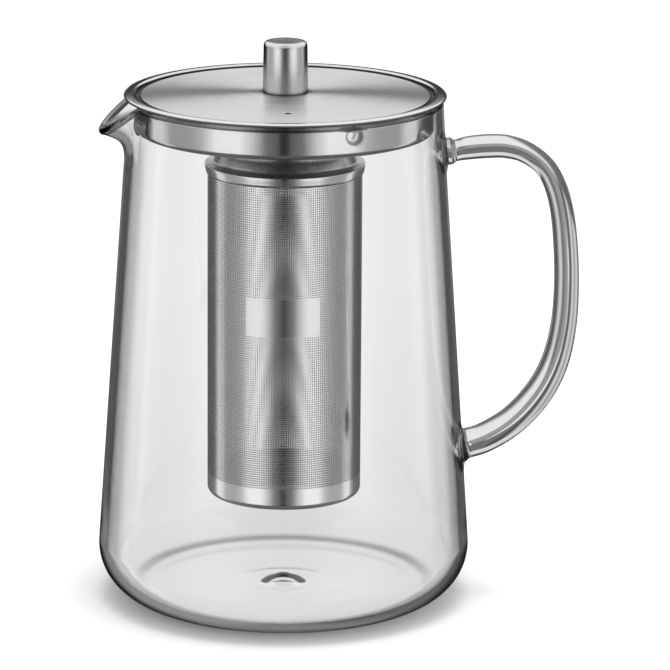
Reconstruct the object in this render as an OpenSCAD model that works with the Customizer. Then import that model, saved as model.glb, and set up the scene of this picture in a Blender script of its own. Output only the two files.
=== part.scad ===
// Glass teapot: a blown jug with a fused handle, a steel lid and a hanging infuser.
// +Z is up, the foot stands on z = 0, the jug's axis is the Z axis,
// the spout points to -X and the handle to +X. All sizes in millimetres.

/* [Jug] */
// Height of the glass rim above the table
jug_h = 169.4; // [168.4:0.2:170.4]
// Radius that the straight wall would have at the table
base_r = 63.1; // [62.6:0.1:63.6]
// How much the wall radius shrinks per millimetre of height
taper = 0.069; // [0.067:0.001:0.071]
// Outer radius of the rounded bottom corner
corner_r = 17.8; // [16:0.2:19]
// Wall thickness
wall_t = 2.4; // [2.2:0.1:2.6]
// Floor thickness
floor_t = 2.8; // [2.4:0.1:3.4]
// Outer radius of the fire-polished rim
rim_r = 51.8; // [51.6:0.1:52]
// Height of the pressed button in the middle of the floor
button_h = 2.4; // [1.5:0.1:3.2]
// Radius of the pressed button
button_r = 7.8; // [6:0.1:9]

/* [Spout] */
// Reach of the spout tip from the jug's axis
spout_reach = 61; // [60:0.2:62]
// Half width of the spout where it leaves the rim
spout_half_w = 20.2; // [19:0.2:21]
// Slope of the spout's lip, in degrees below level
lip_slope = 39.2; // [38:0.2:40]

/* [Handle] */
// Scale of the rod's thickness
rod_k = 1; // [0.92:0.02:1.08]
// Radius of the fused pad at each end of the handle
pad_r = 5.6; // [5.2:0.1:6.2]

/* [Lid] */
// Outer radius of the lid's rim
lid_r = 52.9; // [52.2:0.1:53]
// Radius where the brushed plate meets the polished rim
plate_r = 47.3; // [46.9:0.1:47.5]
// Height of the plate's crown over its edge
crown_h = 1.1; // [0.8:0.1:2]
// Sheet thickness of the plate
plate_t = 0.8; // [0.6:0.1:0.9]
// Outer radius of the skirt that drops into the neck
skirt_r = 48.6; // [48.2:0.1:48.8]
// Height of the skirt
skirt_h = 10.9; // [9:0.1:11.2]
// Outer radius of the bend at the skirt's lower edge
hem_r = 2.2; // [1.2:0.1:2.4]
// Diameter of the steam hole
steam_d = 2.3; // [1.6:0.1:3]
// Distance of the steam hole from the axis
steam_at = 34.3; // [30:0.1:40]

/* [Knob] */
// Knob height
knob_h = 16.8; // [14:0.1:20]
// Knob radius at the foot
knob_r1 = 7.45; // [6.5:0.05:8]
// Knob radius at the top
knob_r2 = 7.2; // [6:0.05:7.5]
// Nominal diameter of the screw under the knob
screw_d = 4; // [3:0.5:4]

/* [Infuser] */
// Outer radius of the perforated tube
tube_r = 25.5; // [25:0.1:25.7]
// Sheet thickness of the tube
tube_t = 0.4; // [0.3:0.05:0.5]
// Underside of the infuser
infuser_z0 = 35.2; // [30:0.2:40]
// Height of the top of the rolled band
band_z1 = 147; // [146.6:0.1:147.4]
// Height of the rolled band
band_h = 3; // [2.6:0.1:3.4]
// Inner radius of the push-fit neck
neck_ri = 21.36; // [21.34:0.01:21.4]
// Length of the lid's socket that the neck slides over
socket_len = 10.5; // [9:0.5:11.5]

/* [Hidden] */
$fn = 96;
glass = [0.86, 0.90, 0.90, 0.35];
steel = [0.72, 0.73, 0.74];
bright = [0.82, 0.83, 0.84];
k = sqrt(1 + taper * taper);
lean = atan(taper);

// ---------- helpers ----------
function lerp(a, b, t) = a + (b - a) * t;
function cr(a, b, c, d, t) =
    0.5 * (2 * b + (c - a) * t + (2 * a - 5 * b + 4 * c - d) * t * t + (3 * b - a - 3 * c + d) * t * t * t);
// value of a table [[x, y], ...] at x, straight between its rows
function look(tab, x, i = 0) =
    x <= tab[0][0] ? tab[0][1] :
    i >= len(tab) - 1 ? tab[len(tab) - 1][1] :
    x <= tab[i + 1][0] ? lerp(tab[i][1], tab[i + 1][1], (x - tab[i][0]) / (tab[i + 1][0] - tab[i][0])) :
    look(tab, x, i + 1);

// solid through a list of rings with the same number of points
module loft(rings) {
    n = len(rings[0]);
    m = len(rings);
    pts = [for (r = rings) for (p = r) p];
    polyhedron(pts, concat(
        [[for (j = [0 : n - 1]) j]],
        [for (i = [0 : m - 2]) for (j = [0 : n - 1]) [i * n + j, (i + 1) * n + j, (i + 1) * n + (j + 1) % n]],
        [for (i = [0 : m - 2]) for (j = [0 : n - 1]) [i * n + j, (i + 1) * n + (j + 1) % n, i * n + (j + 1) % n]],
        [[for (j = [n - 1 : -1 : 0]) (m - 1) * n + j]]));
}

// ---------- jug ----------
function wall_r(z) = base_r - taper * z;
function sq(x) = x * x;
// rise of the floor's middle: a broad kick-up and the pressed button
function kick(r) = (r < 30 ? 0.7 * sq(cos(90 * r / 30)) : 0)
                 + (r < button_r ? button_h * sq(cos(90 * r / button_r)) : 0);
cx = base_r - taper * corner_r - corner_r * k;
in_c = corner_r - wall_t;
in_z = floor_t + in_c;
in_x = base_r - wall_t * k - taper * in_z - in_c * k;
neck_z = jug_h - 5;

outer_pts = concat(
    [for (i = [0 : 20]) [1.5 * i, kick(1.5 * i)]],
    [[cx, 0]],
    [for (i = [1 : 12]) let (a = -90 + (90 + lean) * i / 12) [cx + corner_r * cos(a), corner_r + corner_r * sin(a)]],
    [[wall_r(neck_z), neck_z]],
    [for (i = [0 : 6]) let (a = 15 * i) [rim_r - 1.2 + 1.2 * cos(a), jug_h - 1.2 + 1.2 * sin(a)]],
    [[0, jug_h]]);

inner_pts = concat(
    [for (i = [0 : 20]) [1.5 * i, floor_t + kick(1.5 * i)]],
    [[in_x, floor_t]],
    [for (i = [1 : 12]) let (a = -90 + (90 + lean) * i / 12) [in_x + in_c * cos(a), in_z + in_c * sin(a)]],
    [[wall_r(neck_z) - wall_t, neck_z]],
    [for (i = [0 : 4]) let (a = 180 - 22.5 * i) [rim_r - wall_t + 0.7 + 0.7 * cos(a), jug_h - 0.7 + 0.7 * sin(a)]],
    [[rim_r - wall_t + 0.7, jug_h + 1], [0, jug_h + 1]]);

// reach and half width of the spout at each height, outside and inside
spout_l = [[150, 4], [151.5, 6], [153, 7], [154.2, 8], [155, 9.6], [155.6, 11.8], [156.3, 13.6], [157.2, 14.6], [158.4, 15], [172, 15.2]];
spout_w = [[150, 3], [151.5, 5], [153, 8], [154.2, 10.6], [155, 12.6], [155.6, 14], [156.3, 15.2], [157.2, 16.2], [158.4, 17], [161, 18.3], [164, 19.2], [168, 20], [172, 20.2]];
chan_l = [[152, 2.6], [153, 4.2], [155, 6.2], [156.5, 8.4], [157.4, 10.4], [158.2, 11.8], [159.2, 12.6], [172, 12.9]];
chan_w = [[152, 1.5], [153, 3.4], [155, 7], [156.5, 10], [157.4, 11.8], [158.2, 13.2], [159.2, 14.3], [162, 16.2], [165, 17.2], [172, 18]];
function nose(z, l, w) = [for (i = [0 : 16]) let (a = 90 - 180 * i / 16) [-46 - l * cos(a), w * sin(a), z]];
kl = (spout_reach - 46) / 15;
kw = spout_half_w / 20.2;

module spout_outside()
    loft([for (z = [150, 151.5, 153, 154.2, 155, 155.6, 156.3, 157.2, 158.4, 161, 164, 168, 172])
        nose(z, kl * look(spout_l, z), kw * look(spout_w, z))]);

module spout_inside()
    loft([for (z = [152, 153, 155, 156.5, 157.4, 158.2, 159.2, 162, 165, 172])
        nose(z, kl * look(chan_l, z), kw * look(chan_w, z))]);

module jug_outside() rotate_extrude() polygon(outer_pts);
module jug_inside() rotate_extrude() polygon(inner_pts);

// where the small locating dimple sits in the neck
dimple_az = -64.2;
dimple_z = jug_h - 3.8;

module jug() color(glass) {
    difference() {
        union() {
            difference() {
                union() {
                    jug_outside();
                    spout_outside();
                }
                jug_inside();
            }
            rotate([0, 0, dimple_az]) intersection() {
                translate([rim_r - wall_t + 3.6, 0, dimple_z]) sphere(r = 4);
                translate([0, 0, dimple_z - 5]) cylinder(r = rim_r - 1.1, h = 9.5);
            }
        }
        spout_inside();
        // the lip falls away from the rim towards the tip
        translate([-47.5, -40, jug_h]) rotate([0, -lip_slope, 0]) translate([-40, 0, 0]) cube([40, 80, 30]);
        translate([-70, -40, jug_h]) cube([30, 80, 10]);
        // outer hollow of the dimple
        rotate([0, 0, dimple_az]) translate([rim_r + 3.9, 0, dimple_z]) sphere(r = 4.9);
    }
}

// ---------- handle ----------
// centre line in the XZ plane with the rod's radius: [x, z, r]
rod = [[47, 150.2, 4.6], [51, 150.9, 4.2], [55.5, 151.4, 3.6], [60, 152.3, 3.85], [65.5, 152.9, 3.95], [72.3, 152.9, 3.85], [79, 151, 3.6],
       [85.2, 146.4, 3.45], [89, 139.6, 3.65], [91.3, 131, 3.85], [92.6, 120.5, 4.05], [93.2, 107.5, 4.15],
       [92.6, 93.5, 4.35], [89.9, 80.3, 4.65], [84.6, 69.4, 4.9], [76.2, 59.8, 5], [66.8, 53.7, 5.05], [59.5, 51.4, 5], [53, 50.4, 5]];
rod_n = len(rod);
function rod_at(i, t) = cr(rod[max(i - 1, 0)], rod[i], rod[i + 1], rod[min(i + 2, rod_n - 1)], t);
rod_path = concat([for (i = [0 : rod_n - 2]) for (t = [0, 1 / 3, 2 / 3]) rod_at(i, t)], [rod[rod_n - 1]]);
function rod_dir(j) = let (a = rod_path[max(j - 1, 0)], b = rod_path[min(j + 1, len(rod_path) - 1)], d = b - a)
    [d[0], d[1]] / norm([d[0], d[1]]);
function rod_ring(j) = let (p = rod_path[j], d = rod_dir(j))
    [for (i = [0 : 13]) let (a = 360 * i / 14)
        [p[0] - d[1] * rod_k * p[2] * cos(a), rod_k * p[2] * sin(a), p[1] + d[0] * rod_k * p[2] * cos(a)]];

module handle() color(glass) {
    difference() {
        union() {
            loft([for (j = [len(rod_path) - 1 : -1 : 0]) rod_ring(j)]);
            // fused pads that spread on the wall
            translate([49, 0, 150.6]) rotate([0, 86, 0]) cylinder(r1 = pad_r + 1.6, r2 = pad_r - 1.6, h = 6.4);
            translate([56, 0, 50.7]) rotate([0, 86, 0]) cylinder(r1 = pad_r + 2, r2 = pad_r - 1, h = 6.4);
        }
        jug_outside();
    }
}

// ---------- lid ----------
plate_z = jug_h + 0.3;
crown_z = plate_z + crown_h;
seat_r = knob_r1 + 0.35;
function crown(r, z0, re) = z0 + crown_h * (1 - pow(max(r - seat_r, 0) / (re - seat_r), 3));
lid_hi = jug_h + 1.1;
plate_pts = concat(
    [[0, crown_z - plate_t], [0, crown_z]],
    [for (i = [0 : 10]) let (r = lerp(seat_r, plate_r, i / 10)) [r, crown(r, plate_z, plate_r)]],
    // polished rim: a soft step up to a rounded edge
    [[plate_r + 0.6, plate_z + 0.04], [plate_r + 1.3, plate_z + 0.2], [plate_r + 2.1, plate_z + 0.46],
     [plate_r + 3, plate_z + 0.67], [lid_r - 1.2, lid_hi], [lid_r - 0.6, lid_hi - 0.08], [lid_r - 0.18, lid_hi - 0.28],
     [lid_r, lid_hi - 0.55], [lid_r - 0.16, lid_hi - 0.84], [lid_r - 0.55, lid_hi - 1.04], [lid_r - 0.9, jug_h],
     [49.5, jug_h], [49.2, jug_h - 0.28], [48.9, plate_z - plate_t], [46.4, plate_z - plate_t]],
    [for (i = [9 : -1 : 0]) let (r = lerp(seat_r, 46.4, i / 10)) [r, crown(r, plate_z - plate_t, 46.4)]]);
module plate_solid() rotate_extrude() polygon(plate_pts);

module lid_plate() color(steel) {
    difference() {
        plate_solid();
        translate([0, 0, crown_z - 2]) cylinder(d = screw_d + 0.3, h = 4);
        rotate([0, 0, -87.8]) translate([steam_at, 0, jug_h - 2]) cylinder(d = steam_d, h = 6);
    }
}

skirt_top = plate_z - plate_t;
skirt_bot = skirt_top - skirt_h;
module lid_skirt() color(bright) {
    // thin ring whose lower edge is bent inwards
    rotate_extrude() polygon(concat(
        [[skirt_r - 0.7, skirt_top], [skirt_r, skirt_top]],
        [for (i = [0 : 6]) let (a = -15 * i) [skirt_r - hem_r + hem_r * cos(a), skirt_bot + hem_r + hem_r * sin(a)]],
        [for (i = [6 : -1 : 0]) let (a = -15 * i) [skirt_r - hem_r + (hem_r - 0.7) * cos(a), skirt_bot + hem_r + (hem_r - 0.7) * sin(a)]]));
}

socket_r = neck_ri - 0.06;
socket_bot = jug_h - 0.9 - socket_len;
module infuser_socket() color(bright) {
    difference() {
        rotate_extrude() polygon([[socket_r - 0.8, socket_bot], [socket_r - 0.3, socket_bot], [socket_r, socket_bot + 0.5],
            [socket_r, jug_h + 3], [socket_r - 0.8, jug_h + 3]]);
        plate_solid();
        translate([0, 0, crown_z - plate_t / 2]) cylinder(r = 30, h = 6);
    }
}

module knob() color(steel) {
    difference() {
        rotate_extrude() polygon(concat(
            [[0, crown_z], [knob_r1 - 0.3, crown_z], [knob_r1, crown_z + 0.3], [knob_r2, crown_z + knob_h - 1.4]],
            [for (i = [1 : 6]) let (a = 15 * i) [knob_r2 - 1.4 + 1.4 * cos(a), crown_z + knob_h - 1.4 + 1.4 * sin(a)]],
            [[0, crown_z + knob_h]]));
        translate([0, 0, crown_z - 1]) cylinder(d = screw_d, h = 10);
    }
}

washer_t = 0.8;
module knob_washer() color(bright) {
    translate([0, 0, crown_z - plate_t - washer_t]) difference() {
        cylinder(r = screw_d / 2 + 2.5, h = washer_t);
        translate([0, 0, -1]) cylinder(d = screw_d + 0.3, h = 3);
    }
}

module knob_screw() color(bright) {
    z0 = crown_z - plate_t - washer_t;
    difference() {
        union() {
            translate([0, 0, z0 - 2]) cylinder(r = screw_d - 0.4, h = 2);
            translate([0, 0, z0 - 0.1]) cylinder(d = screw_d, h = 9);
        }
        // cross recess
        for (a = [0, 90]) rotate([0, 0, a]) translate([-1.9, -0.45, z0 - 2.5]) cube([3.8, 0.9, 1.9]);
    }
}

// ---------- infuser ----------
neck_top = jug_h - 1.6;
neck_ro = neck_ri + 0.64;
ring_ri = tube_r - tube_t;
module infuser_ring() color(bright) {
    rotate_extrude() polygon([
        // inside, from the neck's mouth down
        [neck_ri, neck_top], [neck_ri, band_z1 + 6.2], [neck_ri + 0.1, band_z1 + 4.8], [neck_ri + 0.55, band_z1 + 3.4], [neck_ri + 1.1, band_z1 + 1.9],
        [neck_ri + 1.5, band_z1 + 0.7], [neck_ri + 2.1, band_z1 + 0.1], [tube_r - 1.2, band_z1 - 0.1], [tube_r - 0.6, band_z1 - 0.3],
        [tube_r - 0.4, band_z1 - 0.7], [tube_r, band_z1 - 1.1], [tube_r, band_z1 - band_h],
        // outside, back up: the rolled band, the ledge, then the flared foot of the neck
        [tube_r + 0.2, band_z1 - band_h], [tube_r + 0.5, band_z1 - 2.1], [tube_r + 0.9, band_z1 - 1], [tube_r + 1, band_z1],
        [tube_r + 0.85, band_z1 + 0.4], [tube_r + 0.4, band_z1 + 0.52], [neck_ro + 2, band_z1 + 0.8], [neck_ro + 1.5, band_z1 + 1.2],
        [neck_ro + 1.1, band_z1 + 2.2], [neck_ro + 0.6, band_z1 + 3.6], [neck_ro + 0.15, band_z1 + 4.9],
        [neck_ro, band_z1 + 6.2], [neck_ro - 0.1, neck_top - 0.4], [neck_ri + 0.3, neck_top]]);
}

base_h = 2.2;
tube_bot = infuser_z0 + base_h;
tube_top = band_z1 - 1.1;
module infuser_tube() color(steel) {
    translate([0, 0, tube_bot]) difference() {
        cylinder(r = tube_r, h = tube_top - tube_bot);
        translate([0, 0, -1]) cylinder(r = ring_ri, h = tube_top - tube_bot + 2);
    }
}

module infuser_base() color(bright) {
    // pressed dish: rounded rim below the tube and a spigot inside it
    rotate_extrude() polygon(concat(
        [[0, infuser_z0 + 0.8], [0, infuser_z0 + 0.3], [16, infuser_z0 + 0.3], [17, infuser_z0]],
        [for (i = [0 : 6]) let (a = -90 + 15 * i) [tube_r - base_h + base_h * cos(a), infuser_z0 + base_h + base_h * sin(a)]],
        [[ring_ri, tube_bot], [ring_ri, tube_bot + 3], [ring_ri - 0.5, tube_bot + 3],
         [ring_ri - 0.5, infuser_z0 + 2.2], [ring_ri - 1.3, infuser_z0 + 1.1], [ring_ri - 2.4, infuser_z0 + 0.8]]));
}

jug();
handle();
lid_plate();
lid_skirt();
infuser_socket();
knob();
knob_washer();
knob_screw();
infuser_ring();
infuser_tube();
infuser_base();
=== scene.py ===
import math

import bpy
import bmesh
import numpy as np
from mathutils.kdtree import KDTree
from mathutils import Matrix, Vector


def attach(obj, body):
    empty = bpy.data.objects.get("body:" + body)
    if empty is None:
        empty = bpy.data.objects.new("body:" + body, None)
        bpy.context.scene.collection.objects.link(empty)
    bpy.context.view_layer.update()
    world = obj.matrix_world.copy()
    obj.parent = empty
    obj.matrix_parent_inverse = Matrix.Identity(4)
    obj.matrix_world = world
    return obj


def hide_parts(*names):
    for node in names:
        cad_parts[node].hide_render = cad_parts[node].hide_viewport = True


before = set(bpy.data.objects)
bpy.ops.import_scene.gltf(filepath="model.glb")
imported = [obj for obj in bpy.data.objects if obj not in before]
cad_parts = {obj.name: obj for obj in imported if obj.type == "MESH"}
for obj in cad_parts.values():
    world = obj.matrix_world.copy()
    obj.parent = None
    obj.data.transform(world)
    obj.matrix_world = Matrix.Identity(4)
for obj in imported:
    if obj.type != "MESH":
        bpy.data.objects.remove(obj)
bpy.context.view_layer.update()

MM = 0.001
COL = bpy.context.scene.collection


# ------------------------------------------------------------------ helpers
def link(obj):
    COL.objects.link(obj)
    return obj


def make_mesh(name, verts_mm, faces, angle=None, mats=(), face_mats=None):
    me = bpy.data.meshes.new(name)
    v = np.asarray(verts_mm, float) * MM
    me.from_pydata(v.tolist(), [], [list(map(int, f)) for f in faces])
    me.validate(verbose=False)
    me.update()
    me.polygons.foreach_set("use_smooth", np.ones(len(me.polygons), bool))
    if angle is not None:
        me.set_sharp_from_angle(angle=math.radians(angle))
    ob = link(bpy.data.objects.new(name, me))
    for m in mats:
        me.materials.append(m)
    if face_mats is not None:
        me.polygons.foreach_set("material_index", np.asarray(face_mats, np.int32))
    me.update()
    return ob


def grid_faces(rows, cols, closed=True, flip=False, offset=0):
    """Quads between rows of points; the columns run round."""
    r = np.arange(rows - 1)[:, None]
    c = np.arange(cols if closed else cols - 1)[None, :]
    c2 = (c + 1) % cols
    a = offset + r * cols + c
    b = offset + r * cols + c2
    d = offset + (r + 1) * cols + c2
    e = offset + (r + 1) * cols + c
    q = np.stack([a, b, d, e], -1).reshape(-1, 4)
    return q[:, ::-1] if flip else q


def lathe(name, profile, cols=192, angle=35, mats=(), face_mat=None, closed_profile=False):
    """A body of revolution from (r, z) rows in mm, from the bottom axis point round the outside and back up to the axis,
    or a closed ring profile. Rows with r = 0 become single poles."""
    prof = [tuple(p) for p in profile]
    ang = np.linspace(0, 2 * math.pi, cols, endpoint=False)
    verts, rings = [], []
    for r, z in prof:
        if r < 1e-6:
            rings.append([len(verts)] * cols)
            verts.append((0.0, 0.0, z))
        else:
            start = len(verts)
            rings.append(list(range(start, start + cols)))
            verts.extend(np.stack([r * np.cos(ang), r * np.sin(ang), np.full(cols, z)], 1).tolist())
    faces, fm = [], []
    pairs = list(zip(range(len(prof) - 1), range(1, len(prof))))
    if closed_profile:
        pairs.append((len(prof) - 1, 0))
    for k, (i, j) in enumerate(pairs):
        a, b = rings[i], rings[j]
        pole_a, pole_b = a[0] == a[1], b[0] == b[1]
        for c in range(cols):
            d = (c + 1) % cols
            if pole_a and pole_b:
                continue
            if pole_a:
                f = (a[0], b[d], b[c])
            elif pole_b:
                f = (a[c], a[d], b[0])
            else:
                f = (a[c], a[d], b[d], b[c])
            faces.append(f)
            fm.append(face_mat(k) if face_mat else 0)
    return make_mesh(name, verts, faces, angle, mats, fm)


def arc(cx, cz, r, a0, a1, n):
    return [(cx + r * math.cos(math.radians(a)), cz + r * math.sin(math.radians(a))) for a in np.linspace(a0, a1, n)]


def catmull(points, per):
    """Points of a Catmull-Rom spline through rows of numbers, per steps to each span."""
    p = np.asarray(points, float)
    n = len(p)
    out = []
    for i in range(n - 1):
        a, b, c, d = p[max(i - 1, 0)], p[i], p[i + 1], p[min(i + 2, n - 1)]
        for t in np.arange(per) / per:
            out.append(0.5 * (2 * b + (c - a) * t + (2 * a - 5 * b + 4 * c - d) * t * t + (3 * b - a - 3 * c + d) * t**3))
    out.append(p[-1])
    return np.array(out)


def smooth_profile(points, per=6):
    return [tuple(x) for x in catmull(points, per)]


# ------------------------------------------------------------------ materials
def new_mat(name):
    m = bpy.data.materials.new(name)
    m.use_nodes = True
    nt = m.node_tree
    for n in list(nt.nodes):
        nt.nodes.remove(n)
    out = nt.nodes.new("ShaderNodeOutputMaterial")
    bsdf = nt.nodes.new("ShaderNodeBsdfPrincipled")
    nt.links.new(bsdf.outputs[0], out.inputs[0])
    return m, nt, bsdf, out


def node(nt, kind, **kw):
    n = nt.nodes.new(kind)
    for k, v in kw.items():
        setattr(n, k, v)
    return n


def math_node(nt, op, a, b=None, c=None, clamp=False):
    n = nt.nodes.new("ShaderNodeMath")
    n.operation = op
    n.use_clamp = clamp
    for i, x in enumerate((a, b, c)):
        if x is None:
            continue
        if isinstance(x, (int, float)):
            n.inputs[i].default_value = x
        else:
            nt.links.new(x, n.inputs[i])
    return n.outputs[0]


def map_range(nt, value, a, b, c, d):
    n = nt.nodes.new("ShaderNodeMapRange")
    n.inputs[1].default_value, n.inputs[2].default_value = a, b
    n.inputs[3].default_value, n.inputs[4].default_value = c, d
    nt.links.new(value, n.inputs[0])
    return n.outputs[0]


def polar_coords(nt):
    """(radius, angle, z) of the object's own coordinates, as sockets."""
    tc = nt.nodes.new("ShaderNodeTexCoord")
    sep = nt.nodes.new("ShaderNodeSeparateXYZ")
    nt.links.new(tc.outputs["Object"], sep.inputs[0])
    x, y, z = sep.outputs
    r = math_node(nt, "SQRT", math_node(nt, "ADD", math_node(nt, "MULTIPLY", x, x), math_node(nt, "MULTIPLY", y, y)))
    a = math_node(nt, "ARCTAN2", y, x)
    return r, a, z, tc


def combine(nt, x, y, z):
    n = nt.nodes.new("ShaderNodeCombineXYZ")
    for i, v in enumerate((x, y, z)):
        if isinstance(v, (int, float)):
            n.inputs[i].default_value = v
        else:
            nt.links.new(v, n.inputs[i])
    return n.outputs[0]


def noise(nt, vector, scale, detail=2.0, rough=0.5):
    n = nt.nodes.new("ShaderNodeTexNoise")
    n.inputs["Scale"].default_value = scale
    n.inputs["Detail"].default_value = detail
    n.inputs["Roughness"].default_value = rough
    if vector is not None:
        nt.links.new(vector, n.inputs["Vector"])
    return n.outputs["Fac"]


def bump(nt, height, strength, distance, bsdf):
    b = nt.nodes.new("ShaderNodeBump")
    b.inputs["Strength"].default_value = strength
    b.inputs["Distance"].default_value = distance
    nt.links.new(height, b.inputs["Height"])
    nt.links.new(b.outputs[0], bsdf.inputs["Normal"])


def ramp_color(nt, value, stops):
    n = nt.nodes.new("ShaderNodeValToRGB")
    n.color_ramp.interpolation = "LINEAR"
    e = n.color_ramp.elements
    while len(e) < len(stops):
        e.new(0.5)
    for i, (pos, c) in enumerate(stops):
        e[i].position = pos
        e[i].color = (*c, 1) if isinstance(c, tuple) else (c, c, c, 1)
    nt.links.new(value, n.inputs[0])
    return n.outputs[0]


DIMPLE_AZ, DIMPLE_Z = -64.2, 165.6
DIMPLE_AT = (51.7 * math.cos(math.radians(DIMPLE_AZ)), 51.7 * math.sin(math.radians(DIMPLE_AZ)), DIMPLE_Z)


def glass_material(name, edge=None):
    m, nt, b, out = new_mat(name)
    b.inputs["Base Color"].default_value = (0.99, 0.993, 0.992, 1)
    b.inputs["Roughness"].default_value = 0.0
    b.inputs["IOR"].default_value = 1.473
    b.inputs["Transmission Weight"].default_value = 1.0
    if edge:
        # painted reflection: the base colour darkens with Layer Weight facing, standing in for the dark surroundings a
        # solid rod gathers along its edges
        lw = nt.nodes.new("ShaderNodeLayerWeight")
        lw.inputs["Blend"].default_value = 0.5
        nt.links.new(ramp_color(nt, lw.outputs["Facing"], edge), b.inputs["Base Color"])
    else:
        # painted shade: a dark ring is tinted into the glass round the pressed dimple, standing in for the dark its
        # steep sides refract
        where = nt.nodes.new("ShaderNodeTexCoord")
        off = node(nt, "ShaderNodeVectorMath", operation="SUBTRACT")
        nt.links.new(where.outputs["Object"], off.inputs[0])
        off.inputs[1].default_value = tuple(c * MM for c in DIMPLE_AT)
        facing = (math.cos(math.radians(DIMPLE_AZ)), math.sin(math.radians(DIMPLE_AZ)), 0.0)
        cross = node(nt, "ShaderNodeVectorMath", operation="CROSS_PRODUCT")
        nt.links.new(off.outputs[0], cross.inputs[0])
        cross.inputs[1].default_value = facing
        size = node(nt, "ShaderNodeVectorMath", operation="LENGTH")
        nt.links.new(cross.outputs[0], size.inputs[0])
        dot = node(nt, "ShaderNodeVectorMath", operation="DOT_PRODUCT")
        nt.links.new(off.outputs[0], dot.inputs[0])
        dot.inputs[1].default_value = facing
        t = map_range(nt, size.outputs["Value"], 0.0, 0.004, 0.0, 1.0)
        painted_dimple_outer = ramp_color(nt, t, [(0.0, 0.12), (0.71, 0.12), (0.80, 0.95), (1.0, 0.99)])
        # a second painted ring, set a little to one side, leaves a dark crescent
        aside = node(nt, "ShaderNodeVectorMath", operation="SUBTRACT")
        nt.links.new(where.outputs["Object"], aside.inputs[0])
        aside.inputs[1].default_value = (DIMPLE_AT[0] * MM - 0.00040, DIMPLE_AT[1] * MM - 0.00022, DIMPLE_AT[2] * MM + 0.00025)
        cross2 = node(nt, "ShaderNodeVectorMath", operation="CROSS_PRODUCT")
        nt.links.new(aside.outputs[0], cross2.inputs[0])
        cross2.inputs[1].default_value = facing
        size2 = node(nt, "ShaderNodeVectorMath", operation="LENGTH")
        nt.links.new(cross2.outputs[0], size2.inputs[0])
        painted_dimple_inner = ramp_color(nt, map_range(nt, size2.outputs["Value"], 0.0, 0.004, 0.0, 1.0), [(0.0, 0.99), (0.42, 0.97), (0.54, 0.12), (1.0, 0.12)])
        both = node(nt, "ShaderNodeMix", data_type="RGBA", blend_type="LIGHTEN")
        both.inputs["Factor"].default_value = 1.0
        nt.links.new(painted_dimple_outer, both.inputs["A"])
        nt.links.new(painted_dimple_inner, both.inputs["B"])
        ring = both.outputs["Result"]
        keep = node(nt, "ShaderNodeMix", data_type="RGBA")
        seen = nt.nodes.new("ShaderNodeLightPath")
        first = math_node(nt, "LESS_THAN", seen.outputs["Glossy Depth"], 0.5)
        nt.links.new(math_node(nt, "MULTIPLY", first, map_range(nt, dot.outputs["Value"], -0.0013, -0.0011, 0.0, 1.0)), keep.inputs["Factor"])
        keep.inputs["A"].default_value = (0.99, 0.993, 0.992, 1)
        nt.links.new(ring, keep.inputs["B"])
        col = keep.outputs["Result"]
        # painted shade: a dark ring is also tinted round each pad where the handle is fused on
        parts = nt.nodes.new("ShaderNodeSeparateXYZ")
        nt.links.new(where.outputs["Object"], parts.inputs[0])
        px, py, pz = parts.outputs
        for z0, rad in ((0.1506, 5.4), (0.0506, 6.2)):
            dz = math_node(nt, "SUBTRACT", pz, z0)
            d = math_node(nt, "SQRT", math_node(nt, "ADD", math_node(nt, "MULTIPLY", py, py), math_node(nt, "MULTIPLY", dz, dz)))
            t = map_range(nt, d, 0.0, 0.008, 0.0, 1.0)
            u = rad / 8
            painted_pad_ring = ramp_color(nt, t, [(0.0, 0.99), (u - 0.13, 0.97), (u - 0.04, 0.38), (u + 0.02, 0.32), (u + 0.09, 0.96), (1.0, 0.99)])
            m2 = node(nt, "ShaderNodeMix", data_type="RGBA", blend_type="MULTIPLY")
            nt.links.new(math_node(nt, "MULTIPLY", first, math_node(nt, "GREATER_THAN", px, 0.0485)), m2.inputs["Factor"])
            nt.links.new(col, m2.inputs["A"])
            nt.links.new(painted_pad_ring, m2.inputs["B"])
            col = m2.outputs["Result"]
        # painted shade: a dark line is tinted into the glass where the flat floor turns up into the wall, strongest
        # towards +Y
        pr = math_node(nt, "SQRT", math_node(nt, "ADD", math_node(nt, "MULTIPLY", px, px), math_node(nt, "MULTIPLY", py, py)))
        painted_heel_line = ramp_color(nt, map_range(nt, pr, 0.044, 0.054, 0.0, 1.0), [(0.0, 0.99), (0.24, 0.95), (0.42, 0.20), (0.56, 0.20), (0.76, 0.95), (1.0, 0.99)])
        m3 = node(nt, "ShaderNodeMix", data_type="RGBA", blend_type="MULTIPLY")
        low = math_node(nt, "MULTIPLY", math_node(nt, "GREATER_THAN", pz, 0.0024), math_node(nt, "LESS_THAN", pz, 0.010))
        nt.links.new(math_node(nt, "MULTIPLY", low, map_range(nt, py, -0.014, 0.026, 0.15, 1.0)), m3.inputs["Factor"])
        nt.links.new(col, m3.inputs["A"])
        nt.links.new(painted_heel_line, m3.inputs["B"])
        col = m3.outputs["Result"]
        nt.links.new(col, b.inputs["Base Color"])
    # faint waviness of blown glass
    tc = nt.nodes.new("ShaderNodeTexCoord")
    h = noise(nt, tc.outputs["Object"], 38.0, 1.0, 0.4)
    bump(nt, h, 0.22, 0.00010, b)
    tr = nt.nodes.new("ShaderNodeBsdfTransparent")
    lp = nt.nodes.new("ShaderNodeLightPath")
    nt.links.new(ramp_color(nt, lp.outputs["Is Diffuse Ray"], [(0.0, 0.86), (1.0, 0.27)]), tr.inputs["Color"])
    mx = nt.nodes.new("ShaderNodeMixShader")
    nt.links.new(math_node(nt, "MAXIMUM", lp.outputs["Is Shadow Ray"], lp.outputs["Is Diffuse Ray"]), mx.inputs[0])
    nt.links.new(b.outputs[0], mx.inputs[1])
    nt.links.new(tr.outputs[0], mx.inputs[2])
    nt.links.new(mx.outputs[0], out.inputs[0])
    return m


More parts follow.
